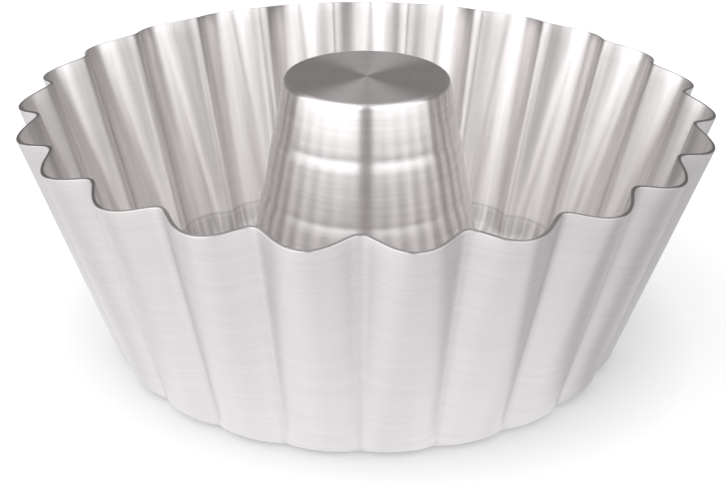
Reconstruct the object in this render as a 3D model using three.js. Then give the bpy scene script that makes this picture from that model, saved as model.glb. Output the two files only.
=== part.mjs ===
// Fluted baba mould: a pressed aluminium shell with a drawn chimney clinched into its floor.
// Millimetres, +Z up. The origin is on the chimney's axis, in the plane that the mould stands on.
import * as THREE from 'three';

// Driving dimensions of the two sheets and of the seam between them
const SHELL_SHEET = 1.2;
const CHIMNEY_SHEET = 1.2;
const SEAM_CLEARANCE = 0.3;

// Fluted wall: wide lobes with narrow ridges between them, which point inwards
const FLUTES = 23;
const RIM_RADIUS = 120;
const RIM_FLUTE_DEPTH = 7.6;
const RIM_HEIGHT = 88.6;
const RIM_DIP = 2.2;
const BASE_RADIUS = 91.2;
const BASE_FLUTE_DEPTH = 3;
const CORNER_RADIUS = 7;

// How far the flute's plan departs from a plain cosine wave: ridges get narrower, lobes wider
const RIDGE_SECOND_WAVE = 0.154;
const RIDGE_THIRD_WAVE = 0.028;

// Floor: a flat ring to stand on, and a land raised around the hole so that the seam clears the table
const SEAM_ABOVE_TABLE = 1.9;
const LAND_PAST_FLARE = 5.8;
const RAISE_WIDTH = 6;

// Chimney: a closed top, and tapering stages that step out at each draw
const CHIMNEY_HEIGHT = 95.7;
const CHIMNEY_TOP_RADIUS = 28.9;
const CHIMNEY_TOP_INNER_FILLET = 0.8;
const CHIMNEY_TAPER = THREE.MathUtils.degToRad(9.7);
const STEP_DEPTHS = [19.1, 41.5];
const STEP_OUT = 0.5;
const STEP_LENGTH = 3;
const STEP_SHARE_AT_MIDDLE = 0.75;
const BEAD_INNER_RADIUS = 0.8;
const FLARE_WIDTH = 3.2;

// Fineness of the facets
const FACETS_PER_FLUTE = 12;
const FLOOR_FACETS_PER_FLUTE = 2;
const ROUND_FACETS = FLUTES * FLOOR_FACETS_PER_FLUTE;
const WALL_STATIONS = [0, 0.5];
const CORNER_STATIONS = [0, 0.25, 0.5, 0.75, 1];
const RAISE_STATIONS = [0, 0.3, 0.5, 0.7, 1];
const ARC_STEPS = 4;
const SLOPE_STEP = 1e-4;

// Heights and radii of the seam, shared by both pieces
const FLARE_TOP = SEAM_ABOVE_TABLE + CHIMNEY_SHEET;
const LAND_RAISE = FLARE_TOP + SEAM_CLEARANCE;
const BEAD_BOTTOM = LAND_RAISE + SHELL_SHEET + SEAM_CLEARANCE;
const BEAD_RADIUS = BEAD_INNER_RADIUS + CHIMNEY_SHEET;
const BEAD_TOP = BEAD_BOTTOM + 2 * BEAD_RADIUS;
const NECK_RADIUS = chimneyRadius(BEAD_TOP, STEP_DEPTHS.length);
const HOLE_RADIUS = NECK_RADIUS + SEAM_CLEARANCE;
const LAND_RADIUS = NECK_RADIUS + FLARE_WIDTH + LAND_PAST_FLARE;
const RAISE_RADIUS = LAND_RADIUS + RAISE_WIDTH;

// Radius of the chimney at a height, below a number of its draw steps
function chimneyRadius(height, steps) {
  return CHIMNEY_TOP_RADIUS + (CHIMNEY_HEIGHT - height) * Math.tan(CHIMNEY_TAPER) + steps * STEP_OUT;
}

// Plan of one flute: 0 on the narrow ridge that points inwards, 1 on the crown of the wide lobe
function crest(angle) {
  const turn = FLUTES * angle;
  const wave = (t) => Math.cos(t) + RIDGE_SECOND_WAVE * Math.cos(2 * t) + RIDGE_THIRD_WAVE * Math.cos(3 * t);
  return (wave(0) - wave(turn)) / (wave(0) - wave(Math.PI));
}

// The wall's straight line at an angle: the radius of its sharp foot, its lean, length and corner setback
function wallLine(angle) {
  const valley = 1 - crest(angle);
  const foot = BASE_RADIUS - BASE_FLUTE_DEPTH * valley;
  const rise = RIM_HEIGHT - RIM_DIP * crest(angle);
  const run = RIM_RADIUS - RIM_FLUTE_DEPTH * valley - foot;
  const lean = Math.atan2(run, rise);
  const setback = CORNER_RADIUS * Math.tan((Math.PI / 2 - lean) / 2);
  return { foot, lean, length: Math.hypot(run, rise), setback };
}

// Stretches of the shell's outer face: each gives radius and height for an angle and a station from 0 to 1
function wall(angle, station) {
  const { foot, lean, length, setback } = wallLine(angle);
  const along = THREE.MathUtils.lerp(length, setback, station);
  return [foot + along * Math.sin(lean), along * Math.cos(lean)];
}

// Round the corner the flutes fade out, so that the floor has none
function corner(angle, station) {
  const { foot, lean, setback } = wallLine(angle);
  const turn = THREE.MathUtils.lerp(lean, Math.PI / 2, station);
  const fadedFoot = THREE.MathUtils.lerp(foot, BASE_RADIUS, station);
  return [fadedFoot - setback + CORNER_RADIUS * Math.cos(turn), CORNER_RADIUS * (1 - Math.sin(turn))];
}

function raise(angle, station) {
  const rise = station * station * (3 - 2 * station);
  return [THREE.MathUtils.lerp(RAISE_RADIUS, LAND_RADIUS, station), LAND_RAISE * rise];
}

function land(angle, station) {
  return [THREE.MathUtils.lerp(LAND_RADIUS, HOLE_RADIUS, station), LAND_RAISE];
}

// Point on one of those stretches, with angles measured from -Y towards +X
function facePoint(stretch, angle, station) {
  const [radius, height] = stretch(angle, station);
  return new THREE.Vector3(radius * Math.sin(angle), -radius * Math.cos(angle), height);
}

// The same point moved through the sheet to the inner face, along the surface's own normal
function innerPoint(stretch, angle, station) {
  const across = facePoint(stretch, angle + SLOPE_STEP, station);
  across.sub(facePoint(stretch, angle - SLOPE_STEP, station));
  const down = facePoint(stretch, angle, station + SLOPE_STEP);
  down.sub(facePoint(stretch, angle, station - SLOPE_STEP));
  const inwards = across.cross(down).normalize();
  return facePoint(stretch, angle, station).addScaledVector(inwards, SHELL_SHEET);
}

// One ring of points round the axis
function ring(pointAt, stretch, station, count) {
  return Array.from({ length: count }, (_, k) => pointAt(stretch, (2 * Math.PI * k) / count, station));
}

// One face of the shell, as rings from the rim to the edge of the hole
function shellRings(pointAt) {
  const fine = FLUTES * FACETS_PER_FLUTE;
  return [
    ...WALL_STATIONS.map((station) => ring(pointAt, wall, station, fine)),
    ...CORNER_STATIONS.map((station) => ring(pointAt, corner, station, fine)),
    ...RAISE_STATIONS.map((station) => ring(pointAt, raise, station, ROUND_FACETS)),
    ring(pointAt, land, 1, ROUND_FACETS),
  ];
}

// Closed surface through a loop of rings, which may have different counts of points
function skinRings(rings) {
  const positions = [];
  const starts = [];
  for (const points of rings) {
    starts.push(positions.length / 3);
    points.forEach((point) => positions.push(...point.toArray()));
  }
  const triangles = [];
  rings.forEach((points, k) => {
    const next = (k + 1) % rings.length;
    triangles.push(...bridge(starts[k], points.length, starts[next], rings[next].length));
  });
  const geometry = new THREE.BufferGeometry();
  geometry.setAttribute('position', new THREE.Float32BufferAttribute(positions, 3));
  geometry.setIndex(triangles);
  geometry.computeVertexNormals();
  return geometry;
}

// Triangles between two rings: the ring that lags behind in angle takes the next step
function bridge(startA, countA, startB, countB) {
  const triangles = [];
  let a = 0;
  let b = 0;
  while (a < countA || b < countB) {
    const pointA = startA + (a % countA);
    const pointB = startB + (b % countB);
    if ((a + 0.5) / countA <= (b + 0.5) / countB) {
      a += 1;
      triangles.push(pointA, pointB, startA + (a % countA));
    } else {
      b += 1;
      triangles.push(pointA, pointB, startB + (b % countB));
    }
  }
  return triangles;
}

function shellGeometry() {
  return skinRings([...shellRings(facePoint), ...shellRings(innerPoint).reverse()]);
}

// Points of an arc in the chimney's profile
function arc(centreRadius, centreHeight, radius, from, to) {
  const curve = new THREE.EllipseCurve(centreRadius, centreHeight, radius, radius, from, to, to < from);
  return curve.getPoints(ARC_STEPS);
}

// One draw step: a short cone that leaves one stage and meets the next
function drawStep(depth, index) {
  const upper = CHIMNEY_HEIGHT - depth;
  const lower = upper - STEP_LENGTH;
  const middle = (upper + lower) / 2;
  return [
    new THREE.Vector2(chimneyRadius(upper, index), upper),
    new THREE.Vector2(chimneyRadius(middle, index + STEP_SHARE_AT_MIDDLE), middle),
    new THREE.Vector2(chimneyRadius(lower, index + 1), lower),
  ];
}

// Outer face of the chimney in half section, from the axis down to the edge of the flare
function chimneyProfile() {
  const fillet = CHIMNEY_TOP_INNER_FILLET + CHIMNEY_SHEET;
  const filletCentre = CHIMNEY_TOP_RADIUS - fillet * Math.tan((Math.PI / 2 - CHIMNEY_TAPER) / 2);
  return [
    new THREE.Vector2(0, CHIMNEY_HEIGHT),
    ...arc(filletCentre, CHIMNEY_HEIGHT - fillet, fillet, Math.PI / 2, CHIMNEY_TAPER),
    ...STEP_DEPTHS.flatMap(drawStep),
    ...arc(NECK_RADIUS, BEAD_BOTTOM + BEAD_RADIUS, BEAD_RADIUS, Math.PI / 2, -Math.PI / 2),
    new THREE.Vector2(NECK_RADIUS, FLARE_TOP),
    new THREE.Vector2(NECK_RADIUS + FLARE_WIDTH, FLARE_TOP),
  ];
}

// Inner face of a sheet whose outer face is given: each point moves in along the mitre of its two neighbours
function innerFace(outer, sheet) {
  const normal = (from, to) => new THREE.Vector2(from.y - to.y, to.x - from.x).normalize();
  return outer.map((point, k) => {
    const before = k > 0 ? normal(outer[k - 1], point) : null;
    const after = k < outer.length - 1 ? normal(point, outer[k + 1]) : null;
    const mitre = (before ?? after).clone().add(after ?? before).normalize();
    return point.clone().addScaledVector(mitre, -sheet / mitre.dot(before ?? after));
  });
}

function chimneyGeometry() {
  const outer = chimneyProfile();
  const section = [...innerFace(outer, CHIMNEY_SHEET), ...outer.reverse()];
  return new THREE.LatheGeometry(section, ROUND_FACETS).rotateX(Math.PI / 2);
}

const satinAluminium = new THREE.MeshStandardMaterial({ color: 0xd6d3cf, roughness: 0.38, metalness: 1 });
const polishedAluminium = new THREE.MeshStandardMaterial({ color: 0xd2cec9, roughness: 0.2, metalness: 1 });

function piece(name, geometry, material) {
  const mesh = new THREE.Mesh(geometry, material);
  mesh.name = name;
  return mesh;
}

const mould = new THREE.Group();
mould.add(piece('fluted_shell', shellGeometry(), satinAluminium));
mould.add(piece('chimney', chimneyGeometry(), polishedAluminium));

export default mould;
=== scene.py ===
"""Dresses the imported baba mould: two sheets of brushed aluminium, a pale floor, soft light and the camera."""

import math
from collections import namedtuple
from functools import reduce

import bmesh
import bpy
from bpy.props import FloatProperty, FloatVectorProperty, IntProperty, PointerProperty
from mathutils import Matrix, Vector


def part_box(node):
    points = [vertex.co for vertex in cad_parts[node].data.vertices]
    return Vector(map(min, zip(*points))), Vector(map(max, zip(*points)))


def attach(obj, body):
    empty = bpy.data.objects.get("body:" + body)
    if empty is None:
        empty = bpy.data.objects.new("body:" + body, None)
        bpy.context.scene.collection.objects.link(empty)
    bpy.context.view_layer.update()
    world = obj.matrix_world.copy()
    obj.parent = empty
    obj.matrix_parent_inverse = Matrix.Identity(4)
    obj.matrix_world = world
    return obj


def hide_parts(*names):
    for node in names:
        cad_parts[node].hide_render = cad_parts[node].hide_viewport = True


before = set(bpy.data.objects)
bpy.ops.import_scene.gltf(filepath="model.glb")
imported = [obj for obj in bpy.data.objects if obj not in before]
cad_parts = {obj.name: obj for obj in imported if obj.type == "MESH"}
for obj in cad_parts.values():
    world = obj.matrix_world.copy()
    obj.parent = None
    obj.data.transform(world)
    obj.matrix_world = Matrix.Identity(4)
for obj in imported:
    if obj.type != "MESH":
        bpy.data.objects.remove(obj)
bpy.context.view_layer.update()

bl_info = {
    "name": "Baba mould",
    "version": (1, 0, 0),
    "blender": (4, 5, 0),
    "location": "3D View > Sidebar > Mould",
    "description": "Models a fluted aluminium baba mould and the stage that it stands on",
    "category": "Object",
}

CHIMNEY_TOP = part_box("chimney")[1].z
PHOTO_WIDTH = 726
MM = 0.001

# Fineness of the two meshes
STEPS_PER_FLUTE = 20
WALL_CUTS = 15
CORNER_SEGMENTS = 10
RAISE_SEGMENTS = 6
CHIMNEY_STEPS = 240
FILLET_SEGMENTS = 8
EASE_SEGMENTS = 3

# Distances within which points count as one, and the upward part of a level face's normal
MERGED = 1e-6
SAME_PLACE = 1e-5
LEVEL = 0.999

# Roundings: the share of a length or radius that they take up, and their segments
Rounding = namedtuple("Rounding", "share segments")
PINCH_START = Rounding(0.5, 3)
PINCH_END = Rounding(0.45, 4)
STEP_END = Rounding(0.55, 5)
BEAD_EDGE = Rounding(0.98, 6)

# Sizes of the raise's rounding and of the eased cut edge, and the least turn of an edge that is eased
RAISE_ROUNDING = 2 * MM
EASE_WIDTH = 0.26 * MM
EASE_ANGLE = math.radians(60)

# Power that a lobe's arch has at the rim, where it is a plain one
PLAIN_ARCH = 1.0

# Places in a list of materials: the inner face and the edge after the outer face, and the chimney's top
INNER_SLOT = 1
EDGE_SLOT = 2
TOP_SLOT = 3

# Patterns of the finishes: scale, how much each axis counts, so that a small number draws it out, and detail
Pattern = namedtuple("Pattern", "scale stretch detail")
EVEN = (1.0, 1.0, 1.0)
FINE_RINGS = Pattern(2600.0, (0.012, 0.012, 1.0), 3.0)
COARSE_RINGS = Pattern(800.0, (0.03, 0.03, 1.0), 2.0)
WAVES = Pattern(400.0, (0.1, 0.1, 1.0), 1.5)
PRESSED_LINES = Pattern(46.0, (1.0, 1.0, 0.5), 2.0)
UPRIGHT_BANDS = Pattern(8.0, EVEN, 2.0)
CLOUDS = Pattern(28.0, EVEN, 2.0)
PAPER_GRAIN = Pattern(900.0, EVEN, 2.0)

# Parts of a pattern's range over which its effect goes from none to full
WIDE = (0.3, 0.7)
NARROW = (0.35, 0.65)

# How much the rings of the brushing follow the radius as well as the height
WALL_SLOPE = 0.27
CHIMNEY_SLOPE = 1.0

# Brushing: a quarter turn, so that reflections are drawn out across it, and its sway along the cut edge
ACROSS = 0.25
EDGE_SWAY = 0.8

# Uneven roughness
RING_WEAR = 0.04
CLOUD_WEAR = 0.02

# Where the painted shade on the lobes lies, as cosines of the turn through a flute: 1 on a ridge, -1 on a
# lobe's crown
GROOVE = (0.94, 1.0)
FLANK = (-0.1, 0.6)
RIDGE_TIP = (0.75, 0.97)
TIP_SHARE = 0.6

# Heights between which the waves come and go and the painted shade on the flanks comes in
WAVES_COME = (20 * MM, 32 * MM)
WAVES_GO = (48 * MM, 60 * MM)
FLANKS_COME = (15 * MM, 85 * MM)

# Inside: fainter pressed lines on the floor, a dark line round the wall that pressing left, and below it
# rougher metal with darker streaks
FLOOR_EDGE = (76 * MM, 88 * MM)
FLOOR_LINES = 0.2
LINE_REACH = 0.9 * MM
LINE_DARK = 0.18
DULL_FULL = 2 * MM
DULL_END = 0.5 * MM
LOW_STREAKS_DARK = 0.2
DULL_WEAR = 0.12

# Floor paper, which glows, with a painted shadow under and round the mould
FLOOR_REACH = 4.0
FLOOR_SHADE = (88 * MM, 121 * MM)
FLOOR_UNDER = 0.5
PAPER_ROUGHNESS = 0.9
PAPER_RELIEF = 0.02 * MM

# Table that only the metal mirrors, a painted reflection with painted shadow: shares of its brightness, and the
# radii, headings and places between which they change
TABLE_DROP = 0.2 * MM
TABLE_UNDER = 0.35
UNDER_RADII = (80 * MM, 90 * MM)
TABLE_NEAR = (1.16, 0.95)
NEAR_RADII = (106 * MM, 171 * MM)
TABLE_SIDES = (1.16, 0.95)
SIDES_PLACES = (-120 * MM, 100 * MM)
CORNER_HEADINGS = (-0.71, -0.55)
BESIDE_HEADINGS = (-0.45, -0.1)
BESIDE_SHARE = 0.5
LEFT_DARK = 0.18
DARK_PLACES = (-60 * MM, 60 * MM)

# Light tent: radius, fineness, how far its ends are turned left, and brightness in front and at the sides
TENT_REACH = 1.35
TENT_STEPS = 6
TENT_TURN = math.radians(6)
TENT_FRONT = 0.98
TENT_SIDES = 0.91

# Camera: the sensor's width in millimetres, and the nearest that it sees
SENSOR_WIDTH = 36.0
NEAREST = 0.01


def length(name, description, default):
    """A size in metres that a user may change."""
    return FloatProperty(name=name, description=description, default=default, unit="LENGTH", precision=5)


def angle(name, description, degrees):
    """An angle that a user may change."""
    return FloatProperty(name=name, description=description, default=math.radians(degrees), unit="ROTATION")


def pixels(name, description, default):
    """A length in pixels of the photograph."""
    return FloatProperty(name=name, description=description, default=default, subtype="PIXEL")


def share(name, description, default):
    """A plain number between nothing and all."""
    return FloatProperty(
        name=name, description=description, default=default, min=0.0, max=1.0, subtype="FACTOR"
    )


def tint(name, description, default):
    """A colour that a user may change."""
    return FloatVectorProperty(name=name, description=description, default=default, subtype="COLOR", size=3)


def glow(name, description, default):
    """How bright a light's face is, white paper in full light being 1."""
    return FloatProperty(name=name, description=description, default=default, min=0.0)


class ShellSizes(bpy.types.PropertyGroup):
    """Sizes of the fluted shell."""

    flutes: IntProperty(name="Flutes", description="Lobes round the wall", default=23, min=3)
    sheet: length("Sheet", "Thickness of the pressed sheet", 1.2 * MM)
    rim_radius: length("Rim radius", "Axis to the crown of a lobe at the rim", 119.94 * MM)
    rim_depth: length("Rim flute depth", "Crown of a lobe to the ridge beside it, at the rim", 7.6 * MM)
    rim_height: length("Rim height", "Height of the ridges' outer edge at the rim", 88.6 * MM)
    rim_dip: length("Rim dip", "How far the lobes' edge lies below the ridges'", 2.2 * MM)
    rim_roundness: share("Rim ridge roundness", "How round the ridges are at the rim, 0 being a crease", 0.28)
    base_radius: length("Base radius", "Axis to the sharp foot of a lobe", 91.2 * MM)
    base_depth: length("Base flute depth", "Flute depth at the foot of the wall", 3 * MM)
    base_roundness: share("Base ridge roundness", "How round the ridges are at the foot of the wall", 0.06)
    base_flatness: FloatProperty(
        name="Base flatness",
        description="How flat the lobes are at the foot of the wall, 1 being a plain arch",
        default=1.7,
        min=0.0,
    )
    corner_radius: length("Corner radius", "Outer radius between wall and floor", 7 * MM)
    hole_radius: length("Hole radius", "Hole in the floor for the chimney's neck", 45.04 * MM)
    land_radius: length("Land radius", "Outer edge of the raised land round the hole", 53.74 * MM)
    land_raise: length("Land raise", "Underside of the land above the table", 3.4 * MM)
    raise_width: length("Raise width", "Width of the slope up to the land", 6 * MM)
    press_line: length("Press line", "Height of the faint line that pressing left inside", 11 * MM)


class ChimneySizes(bpy.types.PropertyGroup):
    """Sizes of the chimney."""

    sheet: length("Sheet", "Thickness of the drawn sheet", 1.2 * MM)
    height: length("Height", "Table to the closed top", CHIMNEY_TOP)
    top_radius: length("Top radius", "Radius of the top where top and side would meet", 28.9 * MM)
    top_fillet: length("Top fillet", "Radius between top and side", 2 * MM)
    taper: angle("Taper", "Lean of the side", 9.7)
    first_step: length("First step", "Top to the first draw step", 19.1 * MM)
    second_step: length("Second step", "Top to the second draw step", 41.5 * MM)
    step_out: length("Step out", "How far each draw step stands out", 0.5 * MM)
    step_length: length("Step length", "Height of each draw step", 3 * MM)
    pinch_length: length("Pinch length", "Height of the slight pinch above each draw step", 1.8 * MM)
    pinch_depth: length("Pinch depth", "How far the wall is drawn in just above each step", 0.15 * MM)
    bead_bottom: length("Bead bottom", "Table to the underside of the bead", 4.9 * MM)
    bead_radius: length("Bead radius", "Outer radius of the bead that sits on the floor", 2 * MM)
    flare_top: length("Flare top", "Table to the upper face of the flare under the floor", 3.1 * MM)
    flare_width: length("Flare width", "How far the flare reaches past the neck", 3.2 * MM)


class FinishSettings(bpy.types.PropertyGroup):
    """Colours, roughness and brushing of the metal."""

    metal: tint("Metal", "Colour of the polished inside", (0.8, 0.776, 0.772))
    drawn_metal: tint("Drawn metal", "Colour of the chimney's side", (0.79, 0.763, 0.763))
    top_metal: tint("Top metal", "Colour of the chimney's top and underside", (0.75, 0.72, 0.725))
    satin_metal: tint("Satin metal", "Colour of the satin outside", (0.715, 0.692, 0.696))
    # The cut edge is darker than the metal: partly its own tone as a burred sheared edge, partly painted shade.
    edge: tint("Cut edge", "Colour of the rim's bare cut edge", (0.47, 0.453, 0.453))
    satin: share("Satin roughness", "Roughness of the satin outside and of the chimney's inside", 0.44)
    polish: share("Polish roughness", "Roughness of the polished inside", 0.46)
    drawn: share("Drawn roughness", "Roughness of the chimney's side", 0.34)
    top: share("Top roughness", "Roughness of the chimney's top", 0.3)
    cut: share("Cut roughness", "Roughness of the rim's bare cut edge", 0.3)
    satin_brushing: share("Satin brushing", "How much the outside's brushing draws reflections out", 0.5)
    inside_brushing: share("Inside brushing", "How much the inside's brushing draws reflections out", 0.74)
    brushing: share("Chimney brushing", "How much brushing on chimney and rim draws reflections out", 0.92)


class StageSettings(bpy.types.PropertyGroup):
    """Camera, floor and light."""

    camera_back: length("Camera distance", "How far in front of the axis the camera stands", 474.3 * MM)
    camera_height: length("Camera height", "Height of the camera above the floor", 263 * MM)
    camera_turn: angle("Camera turn", "How far round to the right the camera stands", 0.73)
    camera_pitch: angle("Camera pitch", "Downward tilt", 25.93)
    camera_roll: angle("Camera roll", "Turn about the line of sight", 0.5)
    focal_pixels: pixels("Focal length", "Focal length in pixels of the photograph", 1447.7)
    centre_offset: pixels("Centre offset", "Pixels from the picture's middle to the optical centre", 2.5)
    floor: tint("Floor", "Colour of the floor", (0.535, 0.535, 0.54))
    # The floor glows evenly, apart from a painted shadow near the mould.
    floor_glow: glow("Lit floor", "Brightness that the floor has from below", 0.3)
    table_glow: glow("Painted reflection table", "Brightness of the table that only the metal mirrors", 0.98)
    # Painted shade: the mirrored table is darker beside the mould, more so on the right.
    table_right: share("Table's right side", "Brightness of the table on the right beside the rest", 0.6)
    back_glow: glow("Back light", "Brightness of the softbox that only lights the floor behind", 1.15)
    sky: tint("Surroundings", "Colour of the studio round the mould", (0.275, 0.262, 0.257))
    overhead_glow: glow("Overhead light", "Brightness of the softbox above", 0.35)
    low_glow: glow("Low panels", "Brightness of the light tent's lower row", 2.46)
    high_glow: glow("High panels", "Brightness of the light tent's upper row", 2.85)
    right_share: share("Right side", "Strength of the tent's right side beside its left", 0.8)
    tent_start: angle("Tent start", "Half the gap between the panels at the camera", 8.4)
    tent_middle: angle("Tent middle", "Where the upper row of panels starts", 38)
    tent_top: angle("Tent top", "How far up the panels reach", 76)
    tent_end: angle("Tent end", "How far round each side the panels reach", 94)


def spun(section, steps):
    """A bmesh of a half section, given as radius and height, spun round the axis."""
    bm = bmesh.new()
    verts = [bm.verts.new((0.0, -radius, height)) for radius, height in section]
    edges = [bm.edges.new(ends) for ends in zip(verts, verts[1:])]
    bmesh.ops.spin(
        bm,
        geom=verts + edges,
        cent=(0, 0, 0),
        axis=(0, 0, 1),
        angle=math.tau,
        steps=steps,
        use_merge=True,
    )
    bmesh.ops.remove_doubles(bm, verts=bm.verts, dist=MERGED)
    bmesh.ops.recalc_face_normals(bm, faces=bm.faces)
    widest = max(bm.faces, key=lambda face: face.calc_center_median().xy.length)
    if widest.normal.dot(widest.calc_center_median() * Vector((1, 1, 0))) < 0:
        bmesh.ops.reverse_faces(bm, faces=bm.faces)
    return bm


def at_corner(vert, corner):
    """Whether a vertex lies at one corner of the half section."""
    radius, height = corner
    return abs(vert.co.xy.length - radius) < SAME_PLACE and abs(vert.co.z - height) < SAME_PLACE


def round_corner(bm, corner, size, segments):
    """Rounds the ring of edges at one corner of the half section."""
    ring = [edge for edge in bm.edges if all(at_corner(vert, corner) for vert in edge.verts)]
    bmesh.ops.bevel(
        bm,
        geom=ring,
        offset=size,
        offset_type="OFFSET",
        affect="EDGES",
        segments=segments,
        profile=0.5,
        material=-1,
        clamp_overlap=True,
    )


def setback(radius, turn):
    """Distance from a corner to where an arc of a radius leaves it, for the angle that it turns through."""
    return radius * math.tan(turn / 2)


def add_object(name, data):
    """A new object in the scene."""
    made = bpy.data.objects.new(name, data)
    bpy.context.scene.collection.objects.link(made)
    return made


def mesh_object(name, bm, materials):
    """An object of a bmesh, which is used up."""
    mesh = bpy.data.meshes.new(name)
    bm.to_mesh(mesh)
    bm.free()
    for material in materials:
        mesh.materials.append(material)
    return add_object(name, mesh)


def finish_piece(name, bm, sheet, materials, node):
    """Makes the piece's object: one sheet with an outer face, an inner face and a slightly eased cut edge."""
    for face in bm.faces:
        face.smooth = True
    piece = mesh_object(name, bm, materials)
    thickness = piece.modifiers.new("Sheet", "SOLIDIFY")
    thickness.thickness = sheet
    thickness.offset = -1.0
    thickness.use_even_offset = True
    thickness.material_offset = INNER_SLOT
    thickness.material_offset_rim = EDGE_SLOT
    ease = piece.modifiers.new("Eased edge", "BEVEL")
    ease.width = EASE_WIDTH
    ease.segments = EASE_SEGMENTS
    ease.limit_method = "ANGLE"
    ease.angle_limit = EASE_ANGLE
    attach(piece, "root")
    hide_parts(node)


class Nodes:
    """Builds a material's node tree in short calls."""

    def __init__(self, name):
        self.material = bpy.data.materials.new(name)
        self.material.use_nodes = True
        self.tree = self.material.node_tree
        self.shader = self.tree.nodes["Principled BSDF"]

    def add(self, kind, **settings):
        """A node, with its own settings."""
        node = self.tree.nodes.new(kind)
        for key, value in settings.items():
            setattr(node, key, value)
        return node

    def join(self, source, target):
        """A link between two sockets."""
        self.tree.links.new(source, target)

    def feed(self, node, values):
        """Gives a node's inputs sockets or numbers, in their order, and returns its result."""
        for socket, value in zip(node.inputs, values):
            if isinstance(value, bpy.types.NodeSocket):
                self.join(value, socket)
            else:
                socket.default_value = value
        return node.outputs[0]

    def math(self, operation, *values):
        """A math node's result."""
        return self.feed(self.add("ShaderNodeMath", operation=operation), values)

    def combine(self, *parts):
        """A vector of three parts."""
        return self.feed(self.add("ShaderNodeCombineXYZ"), parts)

    def total(self, *terms):
        """The sum of sockets and numbers."""
        return reduce(lambda gathered, term: self.math("ADD", gathered, term), terms)

    def product(self, *factors):
        """The product of sockets and numbers."""
        return reduce(lambda gathered, factor: self.math("MULTIPLY", gathered, factor), factors)

    def position(self):
        """The place on the object, in its own coordinates."""
        return self.add("ShaderNodeTexCoord").outputs["Object"]

    def parts(self, vector):
        """The three parts of a vector."""
        node = self.add("ShaderNodeSeparateXYZ")
        self.join(vector, node.inputs[0])
        return node.outputs

    def distance(self, x, y):
        """Distance from the axis."""
        return self.math("SQRT", self.total(self.product(x, x), self.product(y, y)))

    def noise(self, vector, pattern):
        """Noise round a half, in a pattern."""
        stretched = self.add("ShaderNodeVectorMath", operation="MULTIPLY")
        stretched.inputs[1].default_value = pattern.stretch
        self.join(vector, stretched.inputs[0])
        node = self.add("ShaderNodeTexNoise")
        node.inputs["Scale"].default_value = pattern.scale
        node.inputs["Detail"].default_value = pattern.detail
        self.join(stretched.outputs[0], node.inputs["Vector"])
        return node.outputs["Fac"]

    def spread(self, value, low, high, start=0.0, stop=1.0):
        """A value that goes from start to stop, moved to the range from low to high and held there."""
        node = self.add("ShaderNodeMapRange")
        for key, number in (("From Min", start), ("From Max", stop), ("To Min", low), ("To Max", high)):
            node.inputs[key].default_value = number
        self.join(value, node.inputs["Value"])
        return node.outputs[0]

    def emboss(self, height, distance=1.0):
        """Gives the surface a relief, whose height counts in units of a distance."""
        bump = self.add("ShaderNodeBump")
        bump.inputs["Distance"].default_value = distance
        self.join(height, bump.inputs["Height"])
        self.join(bump.outputs[0], self.shader.inputs["Normal"])

    def glow(self, strength):
        """White light from the surface, which mirrors nothing."""
        self.shader.inputs["Base Color"].default_value = (0.0, 0.0, 0.0, 1.0)
        self.shader.inputs["Specular IOR Level"].default_value = 0.0
        self.shader.inputs["Emission Color"].default_value = (1.0, 1.0, 1.0, 1.0)
        self.join(strength, self.shader.inputs["Emission Strength"])


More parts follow.
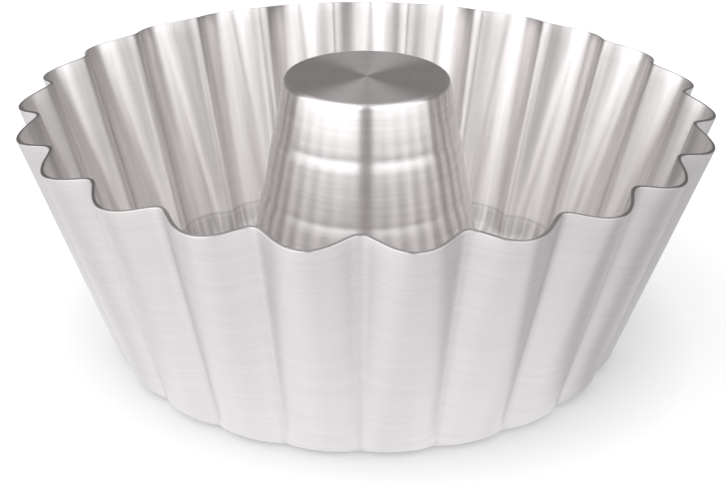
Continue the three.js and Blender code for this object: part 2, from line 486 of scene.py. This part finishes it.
class BrushedMetal(Nodes):
    """Aluminium brushed in rings round the axis, with reflections drawn out across the brushing.

    dark, wear and relief gather what the finish and the painted shade add to the metal's darkness, roughness
    and height.
    """

    def __init__(self, name, brushing, slope):
        super().__init__(name)
        place = self.position()
        self.x, self.y, self.z = self.parts(place)
        self.radius = self.distance(self.x, self.y)
        self.rings = self.combine(self.x, self.y, self.total(self.z, self.product(self.radius, slope)))
        self.fine = self.noise(self.rings, FINE_RINGS)
        self.coarse = self.noise(self.rings, COARSE_RINGS)
        cloud = self.noise(place, CLOUDS)
        self.dark = []
        self.wear = [
            self.spread(self.fine, -RING_WEAR, RING_WEAR),
            self.spread(cloud, -CLOUD_WEAR, CLOUD_WEAR),
        ]
        self.relief = []
        self.shader.inputs["Metallic"].default_value = 1.0
        self.shader.inputs["Anisotropic"].default_value = brushing
        self.shader.inputs["Anisotropic Rotation"].default_value = ACROSS

    def heading(self):
        """Direction from the axis, with the height as its third part."""
        return self.combine(
            self.math("DIVIDE", self.x, self.radius), self.math("DIVIDE", self.y, self.radius), self.z
        )

    def flute_turn(self, flutes):
        """Angle round the axis that makes a whole turn from one ridge to the next."""
        return self.product(self.math("ARCTAN2", self.x, self.product(self.y, -1.0)), float(flutes))

    def brush(self, swing=0.0):
        """Lays the brushing round the axis, and outwards by the share that swing gives."""
        across = self.math("SUBTRACT", self.product(self.x, swing), self.y)
        along = self.total(self.product(self.y, swing), self.x)
        around = self.add(
            "ShaderNodeVectorTransform", vector_type="VECTOR", convert_from="OBJECT", convert_to="WORLD"
        )
        self.join(self.combine(across, along, 0.0), around.inputs[0])
        self.join(around.outputs[0], self.shader.inputs["Tangent"])

    def scratch(self, depth):
        """Cuts the rings of the brushing into the surface."""
        self.relief += [self.product(self.fine, depth), self.product(self.coarse, depth)]

    def darken_rings(self, by):
        """Darkens the coarse rings of the brushing."""
        self.dark.append(self.spread(self.coarse, 0.0, by, *WIDE))

    def darken_bands(self, by):
        """Darkens uneven upright bands."""
        self.dark.append(self.spread(self.noise(self.heading(), UPRIGHT_BANDS), 0.0, by, *WIDE))

    def paint_groove_shade(self, flutes, by):
        """Paints shade into the grooves between the lobes."""
        self.dark.append(self.spread(self.math("COSINE", self.flute_turn(flutes)), 0.0, by, *GROOVE))

    def paint_flank_shade(self, flutes, by):
        """Paints shade on the lobes' flanks, more so towards the rim and less so on the ridges' tips."""
        ridge = self.math("COSINE", self.flute_turn(flutes))
        flank = self.spread(ridge, 0.0, by, *FLANK)
        tip = self.spread(ridge, 1.0, TIP_SHARE, *RIDGE_TIP)
        self.dark.append(self.product(flank, tip, self.spread(self.z, 0.0, 1.0, *FLANKS_COME)))

    def ripple(self, depth):
        """Puts waves into the surface halfway up the wall."""
        come = self.spread(self.z, 0.0, 1.0, *WAVES_COME)
        go = self.spread(self.z, 1.0, 0.0, *WAVES_GO)
        self.relief.append(self.product(self.noise(self.rings, WAVES), come, go, depth))

    def press(self, line, depth, by):
        """Draws the lines that pressing leaves down the wall, and a dark line with rougher metal and darker
        streaks below it.
        """
        on_wall = self.spread(self.radius, FLOOR_LINES, 1.0, *FLOOR_EDGE)
        upright = self.product(self.noise(self.heading(), PRESSED_LINES), on_wall)
        off_line = self.math("ABSOLUTE", self.math("SUBTRACT", self.z, line))
        below = self.spread(self.z, 1.0, 0.0, line - DULL_FULL, line + DULL_END)
        self.dark.append(self.spread(off_line, LINE_DARK, 0.0, 0.0, LINE_REACH))
        # Below the line the streaks are darker.
        self.dark.append(self.product(below, self.spread(upright, 0.0, LOW_STREAKS_DARK, *NARROW)))
        self.dark.append(self.spread(upright, 0.0, by, *NARROW))
        self.wear.append(self.product(below, DULL_WEAR))
        self.relief.append(self.product(upright, depth))

    def finished(self, colour, roughness):
        """Joins all that was gathered to the shader, and gives the material."""
        shade = self.add("ShaderNodeMix", data_type="RGBA")
        shade.inputs["A"].default_value = (*colour, 1.0)
        shade.inputs["B"].default_value = (0.0, 0.0, 0.0, 1.0)
        self.join(self.total(*self.dark), shade.inputs["Factor"])
        self.join(shade.outputs["Result"], self.shader.inputs["Base Color"])
        self.join(self.total(*self.wear, roughness), self.shader.inputs["Roughness"])
        if self.relief:
            self.emboss(self.total(*self.relief))
        return self.material


def satin_outside(finish, sizes):
    """Outside of the shell: satin, with waves halfway up, uneven bands and painted shade in the grooves."""
    metal = BrushedMetal("satin outside", finish.satin_brushing, WALL_SLOPE)
    metal.brush()
    metal.scratch(depth=0.004 * MM)
    metal.ripple(depth=0.13 * MM)
    metal.darken_rings(by=0.05)
    metal.darken_bands(by=0.07)
    # Painted shade: the grooves between the lobes are darkened.
    metal.paint_groove_shade(sizes.flutes, by=0.06)
    return metal.finished(finish.satin_metal, finish.satin)


def polished_inside(finish, sizes):
    """Inside of the shell: polished, with lines that pressing left and painted shade on the flanks."""
    metal = BrushedMetal("polished inside", finish.inside_brushing, WALL_SLOPE)
    metal.brush()
    metal.scratch(depth=0.002 * MM)
    metal.press(sizes.press_line, depth=0.014 * MM, by=0.1)
    metal.darken_rings(by=0.02)
    # Painted shade: darker flanks stand in for the dark surroundings that they mirror.
    metal.paint_flank_shade(sizes.flutes, by=0.3)
    return metal.finished(finish.metal, finish.polish)


def cut_edge(finish, sizes):
    """Bare edge of the shell, brushed in and out with the flutes."""
    metal = BrushedMetal("cut edge", finish.brushing, WALL_SLOPE)
    metal.brush(swing=metal.product(metal.math("SINE", metal.flute_turn(sizes.flutes)), EDGE_SWAY))
    metal.darken_rings(by=0.04)
    # The cut edge's darker colour is partly painted shade.
    return metal.finished(finish.edge, finish.cut)


def chimney_side(finish):
    """Outside of the chimney: bright, with clear rings."""
    metal = BrushedMetal("polished chimney", finish.brushing, CHIMNEY_SLOPE)
    metal.brush()
    metal.scratch(depth=0.003 * MM)
    metal.darken_rings(by=0.1)
    return metal.finished(finish.drawn_metal, finish.drawn)


def chimney_underneath(finish):
    """Inside of the chimney and edge of its flare: satin."""
    metal = BrushedMetal("chimney underneath", finish.brushing, CHIMNEY_SLOPE)
    metal.brush()
    metal.scratch(depth=0.004 * MM)
    metal.darken_rings(by=0.06)
    return metal.finished(finish.top_metal, finish.satin)


def chimney_top(finish):
    """Level faces of the chimney, such as its top, brushed in circles."""
    metal = BrushedMetal("chimney top", finish.brushing, CHIMNEY_SLOPE)
    metal.brush()
    metal.scratch(depth=0.003 * MM)
    metal.darken_rings(by=0.06)
    return metal.finished(finish.top_metal, finish.top)


def crest(turn, flutes, roundness, flatness):
    """Plan of one flute: 0 on the narrow ridge that points inwards, 1 on the crown of the wide lobe."""
    bow = math.sin(flutes * turn / 2)
    wave = (math.hypot(bow, roundness) - roundness) / (math.hypot(1.0, roundness) - roundness)
    return 1.0 - (1.0 - wave) ** flatness


def blend(low, high, part):
    """A value part of the way from low to high, held between them."""
    return low + (high - low) * max(0.0, min(1.0, part))


def press_flutes(bm, sizes):
    """Presses flutes into the plain wall: ridges come inwards and a little up, and fade round the corner."""
    crown_height = sizes.rim_height - sizes.rim_dip
    lean = math.atan2(sizes.rim_radius - sizes.base_radius, crown_height)
    for vert in bm.verts:
        radius = vert.co.xy.length
        if radius < sizes.base_radius - sizes.corner_radius:
            continue
        up = vert.co.z / crown_height
        turn = math.asin(max(0.0, min(1.0, 1.0 - vert.co.z / sizes.corner_radius)))
        fade = blend(1.0, 0.0, (turn - lean) / (math.pi / 2 - lean))
        roundness = blend(sizes.base_roundness, sizes.rim_roundness, up)
        flatness = blend(sizes.base_flatness, PLAIN_ARCH, up)
        valley = 1.0 - crest(math.atan2(vert.co.x, -vert.co.y), sizes.flutes, roundness, flatness)
        depth = blend(sizes.base_depth, sizes.rim_depth, up) * fade
        vert.co.xy *= (radius - depth * valley) / radius
        vert.co.z += sizes.rim_dip * valley * up


def shell_mesh(sizes):
    """A bmesh of the shell's outer face, from the rim to the edge of the hole."""
    rim = (sizes.rim_radius, sizes.rim_height - sizes.rim_dip)
    foot = (sizes.base_radius, 0.0)
    low = (sizes.land_radius + sizes.raise_width, 0.0)
    high = (sizes.land_radius, sizes.land_raise)
    hole = (sizes.hole_radius, sizes.land_raise)
    bm = spun([rim, foot, low, high, hole], sizes.flutes * STEPS_PER_FLUTE)
    lean = math.atan2(rim[0] - foot[0], rim[1])
    round_corner(bm, foot, setback(sizes.corner_radius, math.pi / 2 - lean), CORNER_SEGMENTS)
    for corner in (low, high):
        round_corner(bm, corner, RAISE_ROUNDING, RAISE_SEGMENTS)
    half_height = rim[1] / 2
    wall = [edge for edge in bm.edges if abs(edge.verts[0].co.z - edge.verts[1].co.z) > half_height]
    bmesh.ops.subdivide_edges(bm, edges=wall, cuts=WALL_CUTS, use_grid_fill=True)
    press_flutes(bm, sizes)
    return bm


class MOULD_OT_shell(bpy.types.Operator):
    """Model the fluted wall and the ring floor as one pressed sheet"""

    bl_idname = "mould.shell"
    bl_label = "Fluted shell"

    def execute(self, context):
        sizes = context.scene.mould_shell
        finish = context.scene.mould_finish
        materials = [make(finish, sizes) for make in (satin_outside, polished_inside, cut_edge)]
        finish_piece("shell_sheet", shell_mesh(sizes), sizes.sheet, materials, "fluted_shell")
        return {"FINISHED"}


def side_point(sizes, height, steps):
    """Point of the chimney's side at a height, below a number of its draw steps."""
    drop = sizes.height - height
    return (sizes.top_radius + drop * math.tan(sizes.taper) + steps * sizes.step_out, height)


def draw_steps(sizes):
    """Corners of each draw step: the start of the pinch above it, the pinch's end and the step's end."""
    steps = []
    for count, depth in enumerate((sizes.first_step, sizes.second_step)):
        height = sizes.height - depth
        start = side_point(sizes, height + sizes.pinch_length, count)
        upper = (side_point(sizes, height, count)[0] - sizes.pinch_depth, height)
        lower = side_point(sizes, height - sizes.step_length, count + 1)
        steps.append((start, upper, lower))
    return steps


def chimney_mesh(sizes):
    """A bmesh of the chimney's outer face, from the middle of its top to the edge of its flare."""
    top = (sizes.top_radius, sizes.height)
    steps = draw_steps(sizes)
    bead_top = sizes.bead_bottom + 2 * sizes.bead_radius
    neck = side_point(sizes, bead_top, len(steps))[0]
    bead = [(neck + sizes.bead_radius, height) for height in (bead_top, sizes.bead_bottom)]
    section = [
        (0.0, sizes.height),
        top,
        *(corner for step in steps for corner in step),
        (neck, bead_top),
        *bead,
        (neck, sizes.bead_bottom),
        (neck, sizes.flare_top),
        (neck + sizes.flare_width, sizes.flare_top),
    ]
    bm = spun(section, CHIMNEY_STEPS)
    round_corner(bm, top, setback(sizes.top_fillet, math.pi / 2 - sizes.taper), FILLET_SEGMENTS)
    for start, upper, lower in steps:
        round_corner(bm, start, PINCH_START.share * sizes.pinch_length, PINCH_START.segments)
        round_corner(bm, upper, PINCH_END.share * sizes.pinch_length, PINCH_END.segments)
        round_corner(bm, lower, STEP_END.share * sizes.step_length, STEP_END.segments)
    for corner in bead:
        round_corner(bm, corner, BEAD_EDGE.share * sizes.bead_radius, BEAD_EDGE.segments)
    for face in bm.faces:
        if face.normal.z > LEVEL:
            face.material_index = TOP_SLOT
    return bm


class MOULD_OT_chimney(bpy.types.Operator):
    """Model the stepped chimney as one drawn sheet, with its bead and flare"""

    bl_idname = "mould.chimney"
    bl_label = "Chimney"

    def execute(self, context):
        sizes = context.scene.mould_chimney
        finish = context.scene.mould_finish
        inner_and_edge = [chimney_underneath(finish)] * 2
        materials = [chimney_side(finish), *inner_and_edge, chimney_top(finish), *inner_and_edge]
        finish_piece("chimney_sheet", chimney_mesh(sizes), sizes.sheet, materials, "chimney")
        return {"FINISHED"}


def floor_paper(colour, brightness):
    """Matt white paper that glows, with a painted shadow under the mould and close to it."""
    nodes = Nodes("floor")
    place = nodes.position()
    x, y, _ = nodes.parts(place)
    # Painted shadow: the glow drops under and round the mould.
    nodes.glow(nodes.spread(nodes.distance(x, y), FLOOR_UNDER * brightness, brightness, *FLOOR_SHADE))
    nodes.shader.inputs["Base Color"].default_value = (*colour, 1.0)
    nodes.shader.inputs["Roughness"].default_value = PAPER_ROUGHNESS
    nodes.emboss(nodes.noise(place, PAPER_GRAIN), PAPER_RELIEF)
    return nodes.material


def tent_cloth(brightness):
    """Cloth of the light tent, brightest at the camera's side."""
    nodes = Nodes("light tent")
    _, y, _ = nodes.parts(nodes.position())
    nodes.glow(nodes.spread(y, TENT_FRONT * brightness, TENT_SIDES * brightness, -TENT_REACH, 0.0))
    return nodes.material


def painted_reflection_table(brightness, right):
    """Glowing sheet that only the metal mirrors, a painted reflection of a bright table: painted shadow under
    the mould, brightest near it and on its left, painted shade beside it past its front.
    """
    nodes = Nodes("painted reflection table")
    x, y, _ = nodes.parts(nodes.position())
    radius = nodes.distance(x, y)
    under = nodes.spread(radius, TABLE_UNDER * brightness, brightness, *UNDER_RADII)
    near = nodes.spread(radius, *TABLE_NEAR, *NEAR_RADII)
    sides = nodes.spread(x, *TABLE_SIDES, *SIDES_PLACES)
    heading = nodes.math("DIVIDE", y, radius)
    corners = nodes.spread(heading, 0.0, 1.0, *CORNER_HEADINGS)
    beside = nodes.spread(heading, 1.0, BESIDE_SHARE, *BESIDE_HEADINGS)
    dark = nodes.product(corners, beside, nodes.spread(x, LEFT_DARK, 1.0 - right, *DARK_PLACES))
    # Painted reflection: the glow stands in for a table's light, with painted shadow under and beside the
    # mould.
    nodes.glow(nodes.product(under, near, sides, nodes.math("SUBTRACT", 1.0, dark)))
    return nodes.material


def flat_sheet(height):
    """A bmesh of a wide level square."""
    bm = bmesh.new()
    middle = Matrix.Translation((0.0, 0.0, height))
    bmesh.ops.create_grid(bm, x_segments=1, y_segments=1, size=FLOOR_REACH, matrix=middle)
    return bm


def tent_sheet(bottom, top, start, end):
    """A bmesh of a curved panel of the light tent, between two rises and two turns from the camera's side."""
    bm = bmesh.new()
    verts = []
    for count in range(TENT_STEPS + 1):
        rise = bottom + (top - bottom) * count / TENT_STEPS
        flat = TENT_REACH * math.cos(rise)
        place = (flat * math.sin(start), -flat * math.cos(start), TENT_REACH * math.sin(rise))
        verts.append(bm.verts.new(place))
    edges = [bm.edges.new(ends) for ends in zip(verts, verts[1:])]
    bmesh.ops.spin(
        bm, geom=verts + edges, cent=(0, 0, 0), axis=(0, 0, 1), angle=end - start, steps=2 * TENT_STEPS
    )
    return bm


def hide_from(thing, *rays):
    """Keeps a thing on the stage out of sight of some kinds of rays."""
    for kind in rays:
        setattr(thing, f"visible_{kind}", False)


def lay_sheet(name, bm, material):
    """Makes a stage object of one sheet."""
    sheet = mesh_object(name, bm, [material])
    return sheet


def softbox(name, place, width, depth, brightness):
    """A rectangular light that faces down, of a given brightness."""
    light = bpy.data.lights.new(name, "AREA")
    light.shape = "RECTANGLE"
    light.size = width
    light.size_y = depth
    light.energy = brightness * math.pi * width * depth
    lamp = add_object(name, light)
    lamp.location = place
    return lamp


def lay_floor(stage):
    """Lays the floor that the camera sees, and the table that the metal mirrors instead of it."""
    floor = lay_sheet("floor", flat_sheet(0.0), floor_paper(stage.floor, stage.floor_glow))
    hide_from(floor, "glossy")
    table = lay_sheet("painted reflection table", flat_sheet(-TABLE_DROP), painted_reflection_table(stage.table_glow, stage.table_right))
    hide_from(table, "camera", "diffuse", "shadow")


def light_studio(scene, stage):
    """Sets the surroundings' colour and hangs the two softboxes."""
    world = bpy.data.worlds.new("studio")
    world.use_nodes = True
    world.node_tree.nodes["Background"].inputs["Color"].default_value = (*stage.sky, 1.0)
    scene.world = world
    softbox("overhead", place=(0.0, 0.2, 1.2), width=1.6, depth=1.6, brightness=stage.overhead_glow)
    back = softbox("back", place=(0.0, 0.35, 0.5), width=2.0, depth=0.8, brightness=stage.back_glow)
    hide_from(back, "glossy")


def pitch_tent(stage):
    """Puts up the light tent: two rows of panels on each side, with a gap at the camera."""
    low = (0.0, stage.tent_middle, stage.low_glow)
    high = (stage.tent_middle, stage.tent_top, stage.high_glow)
    for bottom, top, brightness in (low, high):
        for side, strength in ((-1, 1.0), (1, stage.right_share)):
            sheet = tent_sheet(bottom, top, side * stage.tent_start, side * stage.tent_end - TENT_TURN)
            panel = lay_sheet("light tent", sheet, tent_cloth(strength * brightness))
            hide_from(panel, "camera")


def place_camera(scene, stage):
    """Puts the camera where the photograph was taken from."""
    lens = bpy.data.cameras.new("camera")
    lens.sensor_width = SENSOR_WIDTH
    lens.lens = SENSOR_WIDTH * stage.focal_pixels / PHOTO_WIDTH
    lens.shift_x = -stage.centre_offset / PHOTO_WIDTH
    lens.clip_start = NEAREST
    camera = add_object("camera", lens)
    round_axis = Matrix.Rotation(stage.camera_turn, 3, "Z")
    tilt = Matrix.Rotation(math.pi / 2 - stage.camera_pitch, 3, "X")
    roll = Matrix.Rotation(stage.camera_roll, 3, "Z")
    camera.location = round_axis @ Vector((0.0, -stage.camera_back, stage.camera_height))
    camera.rotation_euler = (round_axis @ tilt @ roll).to_euler()
    scene.camera = camera


class MOULD_OT_stage(bpy.types.Operator):
    """Set up the floor, the light and the camera"""

    bl_idname = "mould.stage"
    bl_label = "Stage"

    def execute(self, context):
        scene = context.scene
        stage = scene.mould_stage
        lay_floor(stage)
        light_studio(scene, stage)
        pitch_tent(stage)
        place_camera(scene, stage)
        scene.view_settings.view_transform = "Standard"
        return {"FINISHED"}


class MOULD_PT_panel(bpy.types.Panel):
    """Lists the mould's pieces and settings"""

    bl_label = "Baba mould"
    bl_idname = "MOULD_PT_panel"
    bl_space_type = "VIEW_3D"
    bl_region_type = "UI"
    bl_category = "Mould"

    def draw(self, context):
        for operator in OPERATORS:
            self.layout.operator(operator.bl_idname)
        for settings in SETTINGS:
            group = getattr(context.scene, settings)
            for key in group.bl_rna.properties.keys():
                if key not in ("rna_type", "name"):
                    self.layout.prop(group, key)


SETTINGS = {
    "mould_shell": ShellSizes,
    "mould_chimney": ChimneySizes,
    "mould_finish": FinishSettings,
    "mould_stage": StageSettings,
}
OPERATORS = (MOULD_OT_shell, MOULD_OT_chimney, MOULD_OT_stage)
CLASSES = (*SETTINGS.values(), *OPERATORS, MOULD_PT_panel)


def register():
    """Adds the classes and the scene's settings."""
    for each in CLASSES:
        bpy.utils.register_class(each)
    for key, settings in SETTINGS.items():
        setattr(bpy.types.Scene, key, PointerProperty(type=settings))


def unregister():
    """Takes them away again."""
    for key in SETTINGS:
        delattr(bpy.types.Scene, key)
    for each in reversed(CLASSES):
        bpy.utils.unregister_class(each)


def main():
    """Builds the pieces and the stage."""
    register()
    bpy.ops.mould.shell()
    bpy.ops.mould.chimney()
    bpy.ops.mould.stage()


if __name__ == "__main__":
    main()
